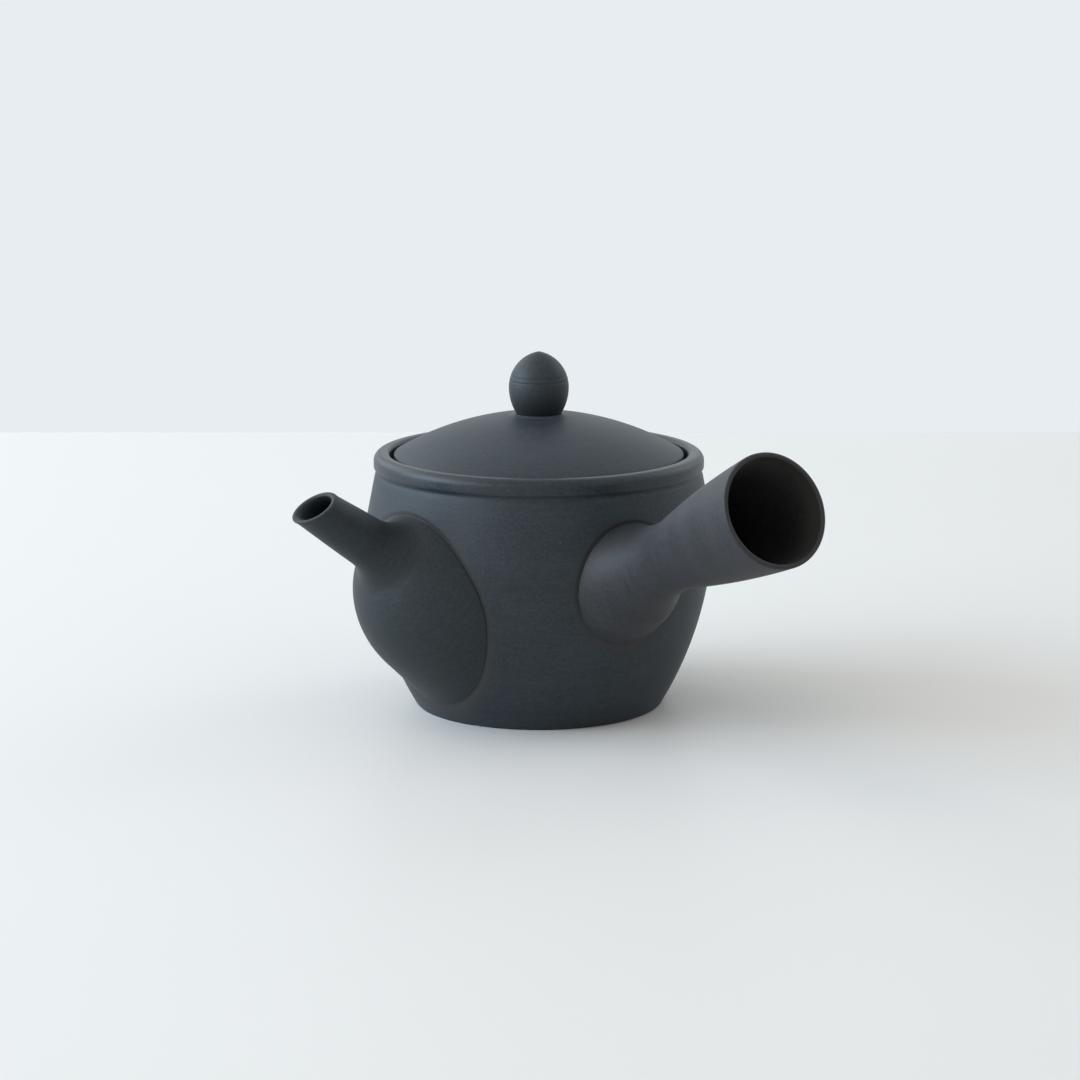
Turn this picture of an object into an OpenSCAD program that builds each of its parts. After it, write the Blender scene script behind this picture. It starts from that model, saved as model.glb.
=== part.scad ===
// Side-handled clay teapot: a thrown pot with a bell spout, a hollow trumpet handle,
// a pierced clay strainer behind the spout, and a drop-in lid with a pointed knob.
// Sizes in millimetres. The pot stands on z = 0 about the Z axis, and the spout points along +X.
// Sections are drawn as [distance from the axis, height], limbs as [distance from their axis, length].

/* [Pot] */
// Outside diameter of the flat foot
foot_d = 69.5; // [62:0.5:78]
// Outside diameter of the belly at its widest
belly_d = 97.5; // [90:0.5:106]
// Height of the widest part of the belly
belly_z = 46.3; // [42:0.1:52]
// Radius of the rounded shoulder, in section
shoulder_r = 38; // [32:0.5:44]
// Arc of the shoulder below the widest part, in degrees
shoulder_drop = 5; // [3:0.5:8]
// Lean of the straight upper wall towards the axis, in degrees
neck_lean = 11.2; // [8:0.1:14]
// Height of the neck groove above the widest part
neck_rise = 19.7; // [17:0.1:23]
// Thickness of the thrown wall
wall = 3; // [2.4:0.1:3.8]
// Thickness of the floor
floor_t = 4; // [3:0.1:6]
// Rounding between the floor and the wall, inside
floor_round = 8; // [4:0.5:14]

/* [Rim] */
// How far the rounded rim stands out from the neck
rim_step = 0.5; // [0.3:0.05:0.6]
// Height of the rim above the neck groove
rim_h = 5.4; // [5:0.1:6.6]
// Width of the rim from its bore to its outside
rim_w = 4.5; // [4:0.1:5.5]
// Rounding of the rim's outer top edge
rim_round = 2.4; // [1.4:0.1:2.6]
// Rounding of the rim's lower edge, over the groove
rim_under = 1.2; // [1:0.1:1.6]
// Depth of the groove under the rim
rim_groove = 0.15; // [0.1:0.05:0.3]
// Radius of that groove, in section
groove_r = 1; // [0.8:0.1:1.4]
// Rounding of the rim's inner top edge
rim_inner = 1.3; // [0.8:0.1:1.6]
// Depth of the lid's seat below the top of the rim
seat_depth = 4; // [3.2:0.1:4.6]
// Width of the lid's seat
seat_w = 3.2; // [2.6:0.1:4]
// Thickness of the ledge that carries the lid
seat_t = 2.6; // [2:0.1:3.4]
// Height of the sloping underside of the ledge
seat_slope = 4; // [3:0.1:6]

/* [Spout] */
// Rise of the spout's axis above level, in degrees
spout_tilt = 33.2; // [28:0.1:38]
// Depth below the belly's widest part at which the spout's axis meets the pot's axis
spout_sink = 32.8; // [30:0.1:36]
// Length of the spout's axis from the belly's radius to the middle of the mouth
spout_len = 36.4; // [30:0.1:44]
// Outside diameter of the spout at its mouth
spout_mouth_d = 11.6; // [10.5:0.1:13]
// Outside diameter of the spout's tube where it leaves the bell
spout_neck_d = 14.4; // [13:0.1:16]
// Radius of the very slight swell along the tube
spout_swell = 1400; // [600:10:2000]
// Slant of the mouth from square, in degrees
spout_slant = 26.4; // [15:0.1:35]
// Diameter of the bell at the middle of its curve
bell_d = 51; // [46:0.1:54]
// Radius of the bell's curve, in section
bell_r = 32; // [28:0.1:36]
// How far the middle of the bell's curve lies inside the belly's radius, along the axis
bell_back = 20; // [17:0.1:22]
// Flare of the bell towards the pot, in degrees
bell_flare = 8.5; // [5:0.1:11]
// Radius of the hollow where the bell runs into the tube
spout_fillet = 12; // [6:0.1:14]
// Thickness of the spout's wall
spout_wall = 1.8; // [1.6:0.1:2.2]

/* [Handle] */
// Angle from the spout to the handle, seen from above, in degrees
handle_angle = 80; // [70:1:100]
// Rise of the handle's axis above level, in degrees
handle_tilt = 23.7; // [18:0.1:28]
// Depth below the belly's widest part at which the handle's axis meets the pot's axis
handle_sink = 22.4; // [19:0.1:26]
// Length of the handle's axis from the belly's radius to the mouth
handle_len = 69.2; // [60:0.1:80]
// Outside diameter of the handle at its mouth
handle_mouth_d = 30.2; // [26:0.1:33]
// Outside diameter of the handle's tube where it leaves the bulb
handle_waist_d = 14; // [12.5:0.1:16]
// Radius of the swell along the tube, in section
handle_swell = 360; // [300:5:420]
// Diameter of the bulb at the middle of its curve
bulb_d = 33.5; // [30:0.1:36]
// Radius of the bulb's curve, in section
bulb_r = 30; // [26:0.1:34]
// How far the middle of the bulb's curve lies inside the belly's radius, along the axis
bulb_back = 11; // [9:0.1:13]
// Flare of the bulb towards the pot, in degrees
bulb_flare = 10.5; // [6:0.1:14]
// Radius of the hollow where the bulb runs into the tube
handle_fillet = 39; // [30:0.5:44]
// Thickness of the handle's wall
handle_wall = 2.2; // [1.8:0.1:2.8]
// Thickness of the handle's rounded lip, to which the wall thins
handle_lip = 1.4; // [1:0.1:1.8]

/* [Strainer] */
// Depth of the strainer's middle below the belly's widest part
strainer_sink = 13.5; // [10:0.1:17]
// Radius of the domed strainer
strainer_r = 22; // [20:0.1:25]
// How far the dome stands into the pot
strainer_rise = 13; // [11:0.1:15]
// Thickness of the strainer
strainer_t = 2; // [1.6:0.1:2.4]
// Diameter of the opening in the pot's wall behind the strainer
strainer_port_d = 27; // [22:0.1:28]
// Diameter of each pierced hole
hole_d = 1.4; // [1:0.05:1.8]
// Spacing of the pierced holes
hole_pitch = 3; // [2.8:0.05:4]
// Half angle of the pierced part of the dome, in degrees
pierced_angle = 40; // [24:1:40]

/* [Lid] */
// Gap between the lid's edge and the bore of the rim
lid_gap = 1.1; // [0.6:0.05:1.4]
// Height of the lid's straight edge above its seat
lid_edge = 2.8; // [2.2:0.1:3.2]
// Rounding of the lid's edge
lid_round = 1; // [0.6:0.1:1.3]
// Radius of the lid's dome, in section
dome_r = 84; // [72:1:110]
// How far the dome's curve is centred past the axis, which gives the dome its soft peak
dome_peak = 2; // [1:0.1:5]
// Thickness of the dome
lid_t = 3; // [2.4:0.1:3.6]
// Gap between the lid's flange and the throat of the pot
flange_gap = 0.6; // [0.4:0.05:1]
// Thickness of the lid's flange
flange_t = 2.6; // [2:0.1:3.4]
// Length of the lid's flange below the seat
flange_h = 7.5; // [5:0.1:10]
// Diameter of the steam hole in the lid
steam_d = 2.4; // [1.6:0.1:3.2]
// Distance of the steam hole from the axis
steam_at = 11.5; // [10:0.1:16]
// Direction of the steam hole, in degrees from the spout
steam_angle = 228; // [0:1:359]

/* [Knob] */
// Largest diameter of the knob
knob_d = 16.7; // [15:0.1:18.4]
// Diameter of the knob where it meets the lid
knob_base_d = 12.6; // [11.5:0.1:14.5]
// Height of the knob above the lid
knob_h = 17.3; // [15.5:0.1:19]
// Height of the knob's point above its widest part
knob_tip = 10; // [9.4:0.1:11.4]

/* [Luting] */
// Film of slip between luted pieces
lute = 0.05; // [0.03:0.01:0.15]

/* [Hidden] */
$fn = 96;
// Largest gap between an arc and its chords in a section
sag = 0.04;
// Clay colours
clay = [0.20, 0.21, 0.23];
clay_handle = [0.25, 0.25, 0.27];
clay_lid = [0.24, 0.26, 0.28];

function polar(r, a) = [r * cos(a), r * sin(a)];
function angle_to(a, b) = atan2(b[1] - a[1], b[0] - a[0]);
// Radius of a circle at a height, on the side away from the axis
function arc_at(c, r, h) = c[0] + sqrt(r ^ 2 - (h - c[1]) ^ 2);
// Height of a circle at a distance from the axis, on its upper side
function arc_top(c, r, x) = c[1] + sqrt(r ^ 2 - (x - c[0]) ^ 2);
// Points along an arc, without its first point
function arc(c, r, from, to) =
    let (steps = ceil(abs(to - from) / (2 * acos(1 - sag / r))))
    [for (i = [1 : steps]) c + polar(r, from + (to - from) * i / steps)];
function reversed(points) = [for (i = [len(points) - 1 : -1 : 0]) points[i]];
// The meeting point of two circles on the left of the line from the first centre to the second
function crossing(ca, ra, cb, rb) =
    let (
        gap = norm(cb - ca),
        u = (cb - ca) / gap,
        along = (ra ^ 2 - rb ^ 2 + gap ^ 2) / (2 * gap),
        side = sqrt(ra ^ 2 - along ^ 2)
    )
    ca + along * u + side * [-u[1], u[0]];

// Shoulder circle, the lower circle that touches it and runs down to the foot, and the leaning neck
foot_r = foot_d / 2;
belly_r = belly_d / 2;
shoulder_c = [belly_r - shoulder_r, belly_z];
drop = polar(1, -shoulder_drop);
foot_from_shoulder = [foot_r, 0] - shoulder_c;
lower_more = (foot_from_shoulder * foot_from_shoulder - shoulder_r ^ 2)
    / (2 * (shoulder_r - foot_from_shoulder * drop));
lower_r = shoulder_r + lower_more;
lower_c = shoulder_c - lower_more * drop;
neck_z = belly_z + neck_rise;
function neck_at(inset, h) =
    let (top = shoulder_c + polar(shoulder_r - inset, neck_lean))
    top[0] - (h - top[1]) * tan(neck_lean);

// Rim and the lid's seat
neck_r = neck_at(0, neck_z);
rim_r = neck_r + rim_step;
rim_top = neck_z + rim_h;
bore_r = rim_r - rim_w;
seat_z = rim_top - seat_depth;
throat_r = bore_r - seat_w;
ledge_z = seat_z - seat_t;
ledge_low = ledge_z - seat_slope;
// The groove's circle stands outside the neck and cuts into it; the rim's lower edge touches it
groove_c = [neck_r - rim_groove + groove_r, neck_z];
groove_off = (groove_r - rim_groove) * cos(neck_lean);
groove_half = sqrt(groove_r ^ 2 - groove_off ^ 2);
groove_start = groove_c - polar(groove_off, neck_lean) - polar(groove_half, 90 + neck_lean);
under_r = rim_r - rim_under;
under_c = [under_r, neck_z + sqrt((groove_r + rim_under) ^ 2 - (groove_c[0] - under_r) ^ 2)];

// Spout, measured along its own axis from the pot's axis
spout_root = belly_r / cos(spout_tilt);
spout_mouth = [spout_mouth_d / 2, spout_root + spout_len];
bell_c = [bell_d / 2 - bell_r, spout_root - bell_back];
spout_neck = [spout_neck_d / 2, arc_top(bell_c, bell_r, spout_neck_d / 2)];
spout_tube_c = crossing(spout_neck, spout_swell, spout_mouth, spout_swell);
spout_end = spout_mouth[1] + spout_mouth_d * tan(spout_slant);

// Handle, measured the same way
handle_root = belly_r / cos(handle_tilt);
handle_mouth = [handle_mouth_d / 2, handle_root + handle_len];
bulb_c = [bulb_d / 2 - bulb_r, handle_root - bulb_back];
handle_waist = [handle_waist_d / 2, arc_top(bulb_c, bulb_r, handle_waist_d / 2)];
handle_tube_c = crossing(handle_waist, handle_swell, handle_mouth, handle_swell);
handle_lip_r = handle_lip / 2;
handle_lip_rise = handle_mouth[1] - handle_lip_r - handle_tube_c[1];
handle_lip_angle = asin(handle_lip_rise / (handle_swell - handle_lip_r));
handle_lip_c = handle_tube_c + polar(handle_swell - handle_lip_r, handle_lip_angle);
// The bore's own curve, from inside the waist to the lip
handle_bore_end = handle_lip_c - polar(handle_lip_r, handle_lip_angle);
handle_bore_c = crossing(handle_waist - [handle_wall, 0], handle_swell, handle_bore_end, handle_swell);

// Strainer dome, centred outside the pot's inner wall
strainer_z = belly_z - strainer_sink;
strainer_x = arc_at(lower_c, lower_r - wall, strainer_z) - strainer_rise + strainer_r;
hole_step = hole_pitch / strainer_r * 180 / PI;

// Lid
lid_r = bore_r - lid_gap;
lid_edge_c = [lid_r - lid_round, seat_z + lid_edge];
dome_rise = sqrt((dome_r - lid_round) ^ 2 - (lid_edge_c[0] + dome_peak) ^ 2);
dome_c = [-dome_peak, lid_edge_c[1] - dome_rise];
dome_edge_angle = angle_to(dome_c, lid_edge_c);
flange_out = throat_r - flange_gap;
flange_in = flange_out - flange_t;
flange_z = seat_z - flange_h;
// Direction from the dome's centre to a distance from the axis, on a circle of radius r
function dome_angle(r, x) = acos((x + dome_peak) / r);

// Knob: two curves that touch at its widest part, the upper one up to its point
knob_seat_r = dome_r + lute;
knob_r = knob_d / 2;
knob_base = [knob_base_d / 2, arc_top(dome_c, knob_seat_r, knob_base_d / 2)];
knob_z = knob_base[1] + knob_h - knob_tip;
// Radius of a curve that runs upright at the widest part and goes in by one length over another
function knob_curve(inwards, along) = (inwards ^ 2 + along ^ 2) / (2 * inwards);
knob_foot_r = knob_curve(knob_r - knob_base[0], knob_h - knob_tip);
knob_foot_c = [knob_r - knob_foot_r, knob_z];
knob_top_r = knob_curve(knob_r, knob_tip);
knob_top_c = [knob_r - knob_top_r, knob_z];

// The pot's outside from the foot up the neck, grown by a film where other pieces are luted on
function pot_outside(grow, top) =
    let (
        r = lower_r + grow,
        foot = [arc_at(lower_c, r, 0), 0]
    )
    concat(
        [foot],
        arc(lower_c, r, angle_to(lower_c, foot), -shoulder_drop),
        arc(shoulder_c, shoulder_r + grow, -shoulder_drop, neck_lean),
        [[neck_at(-grow, top), top]]
    );

// The rim from the groove over its rounded top to the lid's seat
function rim_points() =
    let (
        outer_c = [rim_r - rim_round, rim_top - rim_round],
        inner_c = [bore_r + rim_inner, rim_top - rim_inner],
        groove_end = angle_to(groove_c, under_c)
    )
    concat(
        arc(groove_c, groove_r, 360 + angle_to(groove_c, groove_start), groove_end),
        arc(under_c, rim_under, groove_end - 180, 0),
        [[rim_r, outer_c[1]]],
        arc(outer_c, rim_round, 0, 90),
        [[inner_c[0], rim_top]],
        arc(inner_c, rim_inner, 90, 180),
        [[bore_r, seat_z]]
    );

// The pot's inside from the middle of the floor to the top of the throat
function pot_inside(inset) =
    let (
        r = lower_r - inset,
        corner_z = floor_t + floor_round,
        corner_c = [arc_at(lower_c, r - floor_round, corner_z), corner_z],
        corner_end = angle_to(lower_c, corner_c)
    )
    concat(
        [[0, floor_t], [corner_c[0], floor_t]],
        arc(corner_c, floor_round, -90, corner_end),
        arc(lower_c, r, corner_end, -shoulder_drop),
        arc(shoulder_c, shoulder_r - inset, -shoulder_drop, neck_lean),
        [[neck_at(inset, ledge_low), ledge_low], [throat_r, ledge_z], [throat_r, seat_z]]
    );

// A limb's side: a flared foot, a bell's curve, a hollow and a swelling tube
function limb_side(bell_c, bell_r, flare, tube_c, tube_r, hollow_r, end_angle) =
    let (
        hollow_c = crossing(tube_c, tube_r + hollow_r, bell_c, bell_r + hollow_r),
        bell_end = angle_to(bell_c, hollow_c),
        tube_start = angle_to(tube_c, hollow_c),
        bell_foot = bell_c + polar(bell_r, flare)
    )
    concat(
        [[bell_foot[0] + bell_foot[1] * tan(flare), 0], bell_foot],
        arc(bell_c, bell_r, flare, bell_end),
        arc(hollow_c, hollow_r, 180 + bell_end, 180 + tube_start),
        arc(tube_c, tube_r, tube_start, end_angle)
    );

// The spout's side, taken in by inset
function spout_side(inset) =
    let (tube_r = spout_swell - inset)
    limb_side(
        bell_c, bell_r - inset, bell_flare, spout_tube_c, tube_r, spout_fillet + inset,
        asin((spout_end - spout_tube_c[1]) / tube_r)
    );

function handle_outside() =
    limb_side(bulb_c, bulb_r, bulb_flare, handle_tube_c, handle_swell, handle_fillet, handle_lip_angle);

function handle_inside() =
    limb_side(
        bulb_c, bulb_r - handle_wall, bulb_flare, handle_bore_c, handle_swell, handle_fillet + handle_wall,
        angle_to(handle_bore_c, handle_bore_end)
    );

// Turns a piece drawn along Z to a limb's direction
module along_limb(height, tilt, angle) {
    translate([0, 0, height]) rotate([0, 90 - tilt, angle]) children();
}

// The space that the pot fills, with a film of slip, carried on below its foot
module pot_space() {
    outside = pot_outside(lute, neck_z);
    rotate_extrude()
        polygon(concat([[0, -belly_z], [outside[0][0], -belly_z]], outside, [[0, neck_z]]));
}

module pot_body() {
    color(clay) difference() {
        rotate_extrude()
            polygon(concat(
                [[0, 0]], pot_outside(0, groove_start[1]), rim_points(), reversed(pot_inside(wall))
            ));
        translate([0, 0, strainer_z]) rotate([0, 90, 0]) cylinder(d = strainer_port_d, h = belly_d);
    }
}

// The mouth is cut on a slant that faces up
module spout() {
    color(clay) difference() {
        along_limb(belly_z - spout_sink, spout_tilt, 0) difference() {
            rotate_extrude() polygon(concat(spout_side(0), reversed(spout_side(spout_wall))));
            translate([0, 0, spout_mouth[1]]) rotate([0, -spout_slant, 0])
                translate([-belly_r, -belly_r, 0]) cube(belly_d);
        }
        pot_space();
    }
}

module handle() {
    lip = arc(handle_lip_c, handle_lip_r, handle_lip_angle, handle_lip_angle + 180);
    inside = reversed(handle_inside());
    section = concat(handle_outside(), lip, [for (i = [1 : len(inside) - 1]) inside[i]]);
    color(clay_handle) difference() {
        along_limb(belly_z - handle_sink, handle_tilt, handle_angle)
            rotate_extrude() polygon(section);
        pot_space();
    }
}

// Rings of holes that all point at the middle of the dome
module strainer_holes() {
    for (ring = [0 : floor(pierced_angle / hole_step)]) {
        slope = ring * hole_step;
        count = max(1, round(360 * sin(slope) / hole_step));
        for (i = [0 : count - 1])
            rotate([i * 360 / count, 0, 0]) rotate([0, slope - 90, 0])
                translate([0, 0, strainer_r - 2 * strainer_t])
                    cylinder(d = hole_d, h = 3 * strainer_t, $fn = 24);
    }
}

module strainer() {
    color(clay) intersection() {
        translate([strainer_x, 0, strainer_z]) difference() {
            sphere(strainer_r);
            sphere(strainer_r - strainer_t);
            strainer_holes();
        }
        rotate_extrude() polygon(concat(pot_inside(wall + lute), [[0, seat_z]]));
    }
}

module lid() {
    inner_r = dome_r - lid_t;
    section = concat(
        [[flange_in, flange_z], [flange_out, flange_z], [flange_out, seat_z], [lid_r, seat_z]],
        [[lid_r, lid_edge_c[1]]],
        arc(lid_edge_c, lid_round, 0, dome_edge_angle),
        arc(dome_c, dome_r, dome_edge_angle, dome_angle(dome_r, 0)),
        [[0, arc_top(dome_c, inner_r, 0)]],
        arc(dome_c, inner_r, dome_angle(inner_r, 0), dome_angle(inner_r, flange_in))
    );
    color(clay_lid) difference() {
        rotate_extrude() polygon(section);
        rotate(steam_angle) translate([steam_at, 0, seat_z]) cylinder(d = steam_d, h = belly_z);
    }
}

module knob() {
    section = concat(
        [[0, arc_top(dome_c, knob_seat_r, 0)]],
        arc(dome_c, knob_seat_r, dome_angle(knob_seat_r, 0), dome_angle(knob_seat_r, knob_base[0])),
        arc(knob_foot_c, knob_foot_r, angle_to(knob_foot_c, knob_base), 0),
        arc(knob_top_c, knob_top_r, 0, asin(knob_tip / knob_top_r))
    );
    color(clay) rotate_extrude() polygon(section);
}

pot_body();
spout();
handle();
strainer();
lid();
knob();
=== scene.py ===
import math
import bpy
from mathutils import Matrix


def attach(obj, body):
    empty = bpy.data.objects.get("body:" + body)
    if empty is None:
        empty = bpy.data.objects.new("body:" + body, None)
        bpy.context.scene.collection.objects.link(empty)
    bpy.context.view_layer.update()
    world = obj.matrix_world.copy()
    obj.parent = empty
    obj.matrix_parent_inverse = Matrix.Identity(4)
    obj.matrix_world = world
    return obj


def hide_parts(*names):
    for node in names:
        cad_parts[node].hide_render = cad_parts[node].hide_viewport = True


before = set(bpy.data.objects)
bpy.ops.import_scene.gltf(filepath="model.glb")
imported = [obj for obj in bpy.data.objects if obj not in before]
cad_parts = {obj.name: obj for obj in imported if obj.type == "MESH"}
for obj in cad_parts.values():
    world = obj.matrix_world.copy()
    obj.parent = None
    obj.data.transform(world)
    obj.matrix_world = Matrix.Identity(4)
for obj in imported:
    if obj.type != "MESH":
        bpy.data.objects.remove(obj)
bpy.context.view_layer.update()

from types import SimpleNamespace

import bmesh
import bpy
from bpy.props import FloatProperty, FloatVectorProperty, IntProperty, PointerProperty
from mathutils import Euler, Vector

bl_info = {
    "name": "Side-handled clay teapot",
    "version": (1, 0, 0),
    "blender": (4, 5, 0),
    "location": "View3D > Sidebar > Teapot",
    "description": "Thrown clay teapot with a bell spout, a trumpet handle and a domed lid",
    "category": "Add Mesh",
}

MM = 0.001
# Largest gap between an arc and its chords in a section
SAG = 0.004 * MM
FINE_SAG = 0.0006 * MM
# Distances under which points are welded, or count as lying on a ring or in the mouth's plane
WELD = 0.0005 * MM
ON_RING = 0.02 * MM
IN_PLANE = 0.01 * MM
# Least cosine between the mouth's direction and that of a face in its plane
FACES_MOUTH = 0.99
# Longest step along a straight line of a section, and along the floor
LINE_STEP = 1.5 * MM
FLOOR_STEP = 4 * MM
SMOOTH_ANGLE = math.radians(33)
SEAM_CUTS = 5
# Film of slip between a luted piece and its neighbour
SLIP_FILM = 0.05 * MM
# A limb's section starts inside the pot, at this share of the way to the belly's radius
LIMB_START = 0.35
# The spout's last row of points lies this share of the mouth's width below it
LAST_ROW = 0.4

# Clay: its gloss, and the ranges of noise that its tones and its roughness are taken from
CLAY_GLOSS = 0.36
TONE_SPREAD = (0.41, 0.59)
ROUGH_TONES = (0.3, 0.7)
CLAY_ROUGHNESS = (0.47, 0.6)
# Turning lines, counted up the axis and, on a slope, away from it
LINES_PER_METRE = 700.0
SPOUT_LINES = 620.0
HANDLE_LINES = 560.0
KNOB_LINES = 1100.0
LINE_SLOPE = 0.8
LINE_DRIFT = 1.6 * MM
STREAK_STRETCH = (1, 1, 7)
# Specks, and how strongly rubbed clay (which also paints light into the tooled hollows), burnished
# clay, the lighter tone round the knob and the painted shade at the knob's base show
SPECK_RARITY = 0.9
SPECK_SIZE = 0.09
SPECK_SHARE = 0.15
RUBBED_AND_LIT_SHARE = 0.6
RIM_ROUGHNESS = 0.78
# The lighter, bluer tone on the lid round the knob fades out between these multiples of the knob's
# base
LIGHTER_BAND_REACH = (1.5, 1.05)
LIGHTER_BAND_SHARE = 0.9
# Share of the painted shade at the knob's base
KNOB_SHADE_SHARE = 0.75
# The light painted into the handle's bore fades with its depth, counted in thicknesses of the lip
BORE_LIGHT_DEPTH = 7
# Painted shade on the handle's lip grows as its face turns away from outwards, over this spread
LIP_SHADE_FACING = 0.95
LIP_SHADE_SPREAD = 0.6

# Stage, in metres and watts; places are to the camera's right, away from it and up
TABLE_GLOSS = 0.05
TABLE_SHADE = 0.985
TABLE_ROUGHNESS = (0.42, 0.5)
TABLE_WIDTH = 6.0
TABLE_FRONT = 3.0
ROOM_LIGHT = 0.483
LAMP_SIZE = 1.28
LAMP_AIM = (0, 0, 0.05)
LAMPS = (
    ("left", (-1.76, 0, 0.69), 22.6, (0.62, 0.79, 1.0)),
    ("left_front", (-1.52, -0.8, 0.69), 13.7, (0.87, 0.97, 1.0)),
    ("left_back", (-1.28, 1.28, 0.93), 7.2, (0.86, 0.99, 1.0)),
    ("left_high", (-1.2, 0.16, 1.49), 5.5, (1.0, 0.85, 0.72)),
    ("right_back", (1.44, 0.96, 1.0), 5.3, (0.82, 0.95, 1.0)),
    ("back", (0.16, 1.76, 0.93), 2.3, (0.80, 0.95, 1.0)),
)


def length(name, description, size):
    """A size that a user can change, given in millimetres."""
    return FloatProperty(
        name=name, description=description, default=size * MM, unit="LENGTH", precision=5
    )


def angle(name, description, degrees):
    """An angle that a user can change, given in degrees."""
    return FloatProperty(
        name=name, description=description, default=math.radians(degrees), subtype="ANGLE"
    )


def colour(name, description, value):
    """A colour that a user can change."""
    return FloatVectorProperty(
        name=name, description=description, default=value, subtype="COLOR", size=3, min=0, max=1
    )


def facets(piece, steps):
    """The number of steps round a turned piece."""
    return IntProperty(
        name="Facets", description=f"Steps round the {piece}", default=steps, min=48, max=288
    )


class PotSizes(bpy.types.PropertyGroup):
    """Sizes of the thrown pot and its rim"""

    foot_d: length("Foot", "Outside diameter of the flat foot", 69.5)
    belly_d: length("Belly", "Outside diameter of the belly at its widest", 97.5)
    belly_z: length("Belly height", "Height of the widest part of the belly", 46.3)
    shoulder_r: length("Shoulder", "Radius of the rounded shoulder, in section", 38)
    shoulder_drop: angle("Shoulder drop", "Arc of the shoulder below the widest part", 5)
    neck_lean: angle("Neck lean", "Lean of the straight upper wall towards the axis", 11.2)
    neck_rise: length("Neck rise", "Height of the neck groove above the widest part", 19.7)
    wall: length("Wall", "Thickness of the thrown wall", 3)
    floor_t: length("Floor", "Thickness of the floor", 4)
    floor_round: length("Floor rounding", "Rounding between the floor and the wall, inside", 8)
    foot_edge: length("Foot edge", "Softening of the edges of foot, seat and groove", 0.5)
    rim_step: length("Rim step", "How far the rounded rim stands out from the neck", 0.5)
    rim_h: length("Rim height", "Height of the rim above the neck groove", 5.4)
    rim_w: length("Rim width", "Width of the rim from its bore to its outside", 4.5)
    rim_round: length("Rim rounding", "Rounding of the rim's outer top edge", 2.4)
    rim_under: length("Rim underside", "Rounding of the rim's lower edge, over the groove", 1.2)
    rim_groove: length("Rim groove", "Depth of the groove under the rim", 0.15)
    groove_r: length("Groove curve", "Radius of the groove under the rim, in section", 1)
    rim_inner: length("Rim inside", "Rounding of the rim's inner top edge", 1.3)
    seat_depth: length("Seat depth", "Depth of the lid's seat below the top of the rim", 4)
    seat_w: length("Seat width", "Width of the lid's seat", 3.2)
    seat_t: length("Ledge", "Thickness of the ledge that carries the lid", 2.6)
    seat_slope: length("Ledge slope", "Height of the sloping underside of the ledge", 4)
    port_d: length("Port", "Diameter of the opening behind the spout", 27)
    port_sink: length("Port sink", "Depth of the port's middle below the widest part", 13.5)
    seam_depth: length("Seam depth", "Depth of the tooled hollow round a luted limb", 0.32)
    seam_w: length("Seam width", "Width of the tooled hollow outside a luted limb", 0.6)
    seam_in: length("Seam inside", "Width of the tooled hollow under a luted limb", 0.5)
    # The rubbed tone, lighter than the clay, also paints light into the hollow over this width
    rub_w: length("Rub width", "Width of the clay that the tool rubbed round a luted limb", 1.0)
    seam_band: length("Seam band", "Width of the finer mesh on each side of the hollow", 2.6)
    steps: facets("pot", 192)


class SpoutSizes(bpy.types.PropertyGroup):
    """Sizes of the spout, along its own axis"""

    tilt: angle("Tilt", "Rise of the spout's axis above level", 33.2)
    sink: length("Sink", "Depth below the widest part at which the axes meet", 32.8)
    reach: length("Length", "From the belly's radius to the middle of the mouth", 36.4)
    mouth_d: length("Mouth", "Outside diameter at the mouth", 11.6)
    neck_d: length("Neck", "Outside diameter where the tube leaves the bell", 14.4)
    swell: length("Swell", "Radius of the slight swell along the tube", 1400)
    slant: angle("Slant", "Slant of the mouth from square", 26.4)
    bell_d: length("Bell", "Diameter of the bell at the middle of its curve", 51)
    bell_r: length("Bell curve", "Radius of the bell's curve, in section", 32)
    bell_back: length("Bell back", "Depth of the bell's centre inside the belly's radius", 20)
    bell_flare: angle("Bell flare", "Flare of the bell towards the pot", 8.5)
    fillet: length("Hollow", "Radius of the hollow where the bell runs into the tube", 12)
    wall: length("Wall", "Thickness of the spout's wall", 1.8)
    lip: length("Lip", "Softening of the edges of the mouth", 0.55)
    lip_band: length("Lip band", "Width of the band under the mouth that flares a little", 1.6)
    lip_flare: length("Lip flare", "How far that band stands out at the mouth", 0.25)
    bore_flare: length("Bore flare", "How far the bore opens out in that band", 0.7)
    steps: facets("spout", 128)


class HandleSizes(bpy.types.PropertyGroup):
    """Sizes of the handle, along its own axis"""

    turn: angle("Turn", "Angle from the spout to the handle, seen from above", 80)
    tilt: angle("Tilt", "Rise of the handle's axis above level", 23.7)
    sink: length("Sink", "Depth below the widest part at which the axes meet", 22.4)
    reach: length("Length", "From the belly's radius to the mouth", 69.2)
    mouth_d: length("Mouth", "Outside diameter at the mouth", 30.2)
    neck_d: length("Waist", "Outside diameter where the tube leaves the bulb", 14)
    swell: length("Swell", "Radius of the swell along the tube, in section", 360)
    bell_d: length("Bulb", "Diameter of the bulb at the middle of its curve", 33.5)
    bell_r: length("Bulb curve", "Radius of the bulb's curve, in section", 30)
    bell_back: length("Bulb back", "Depth of the bulb's centre inside the belly's radius", 11)
    bell_flare: angle("Bulb flare", "Flare of the bulb towards the pot", 10.5)
    fillet: length("Hollow", "Radius of the hollow where the bulb runs into the tube", 39)
    wall: length("Wall", "Thickness of the handle's wall", 2.2)
    lip: length("Lip", "Thickness of the rounded lip, to which the wall thins", 1.4)
    steps: facets("handle", 128)


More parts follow.
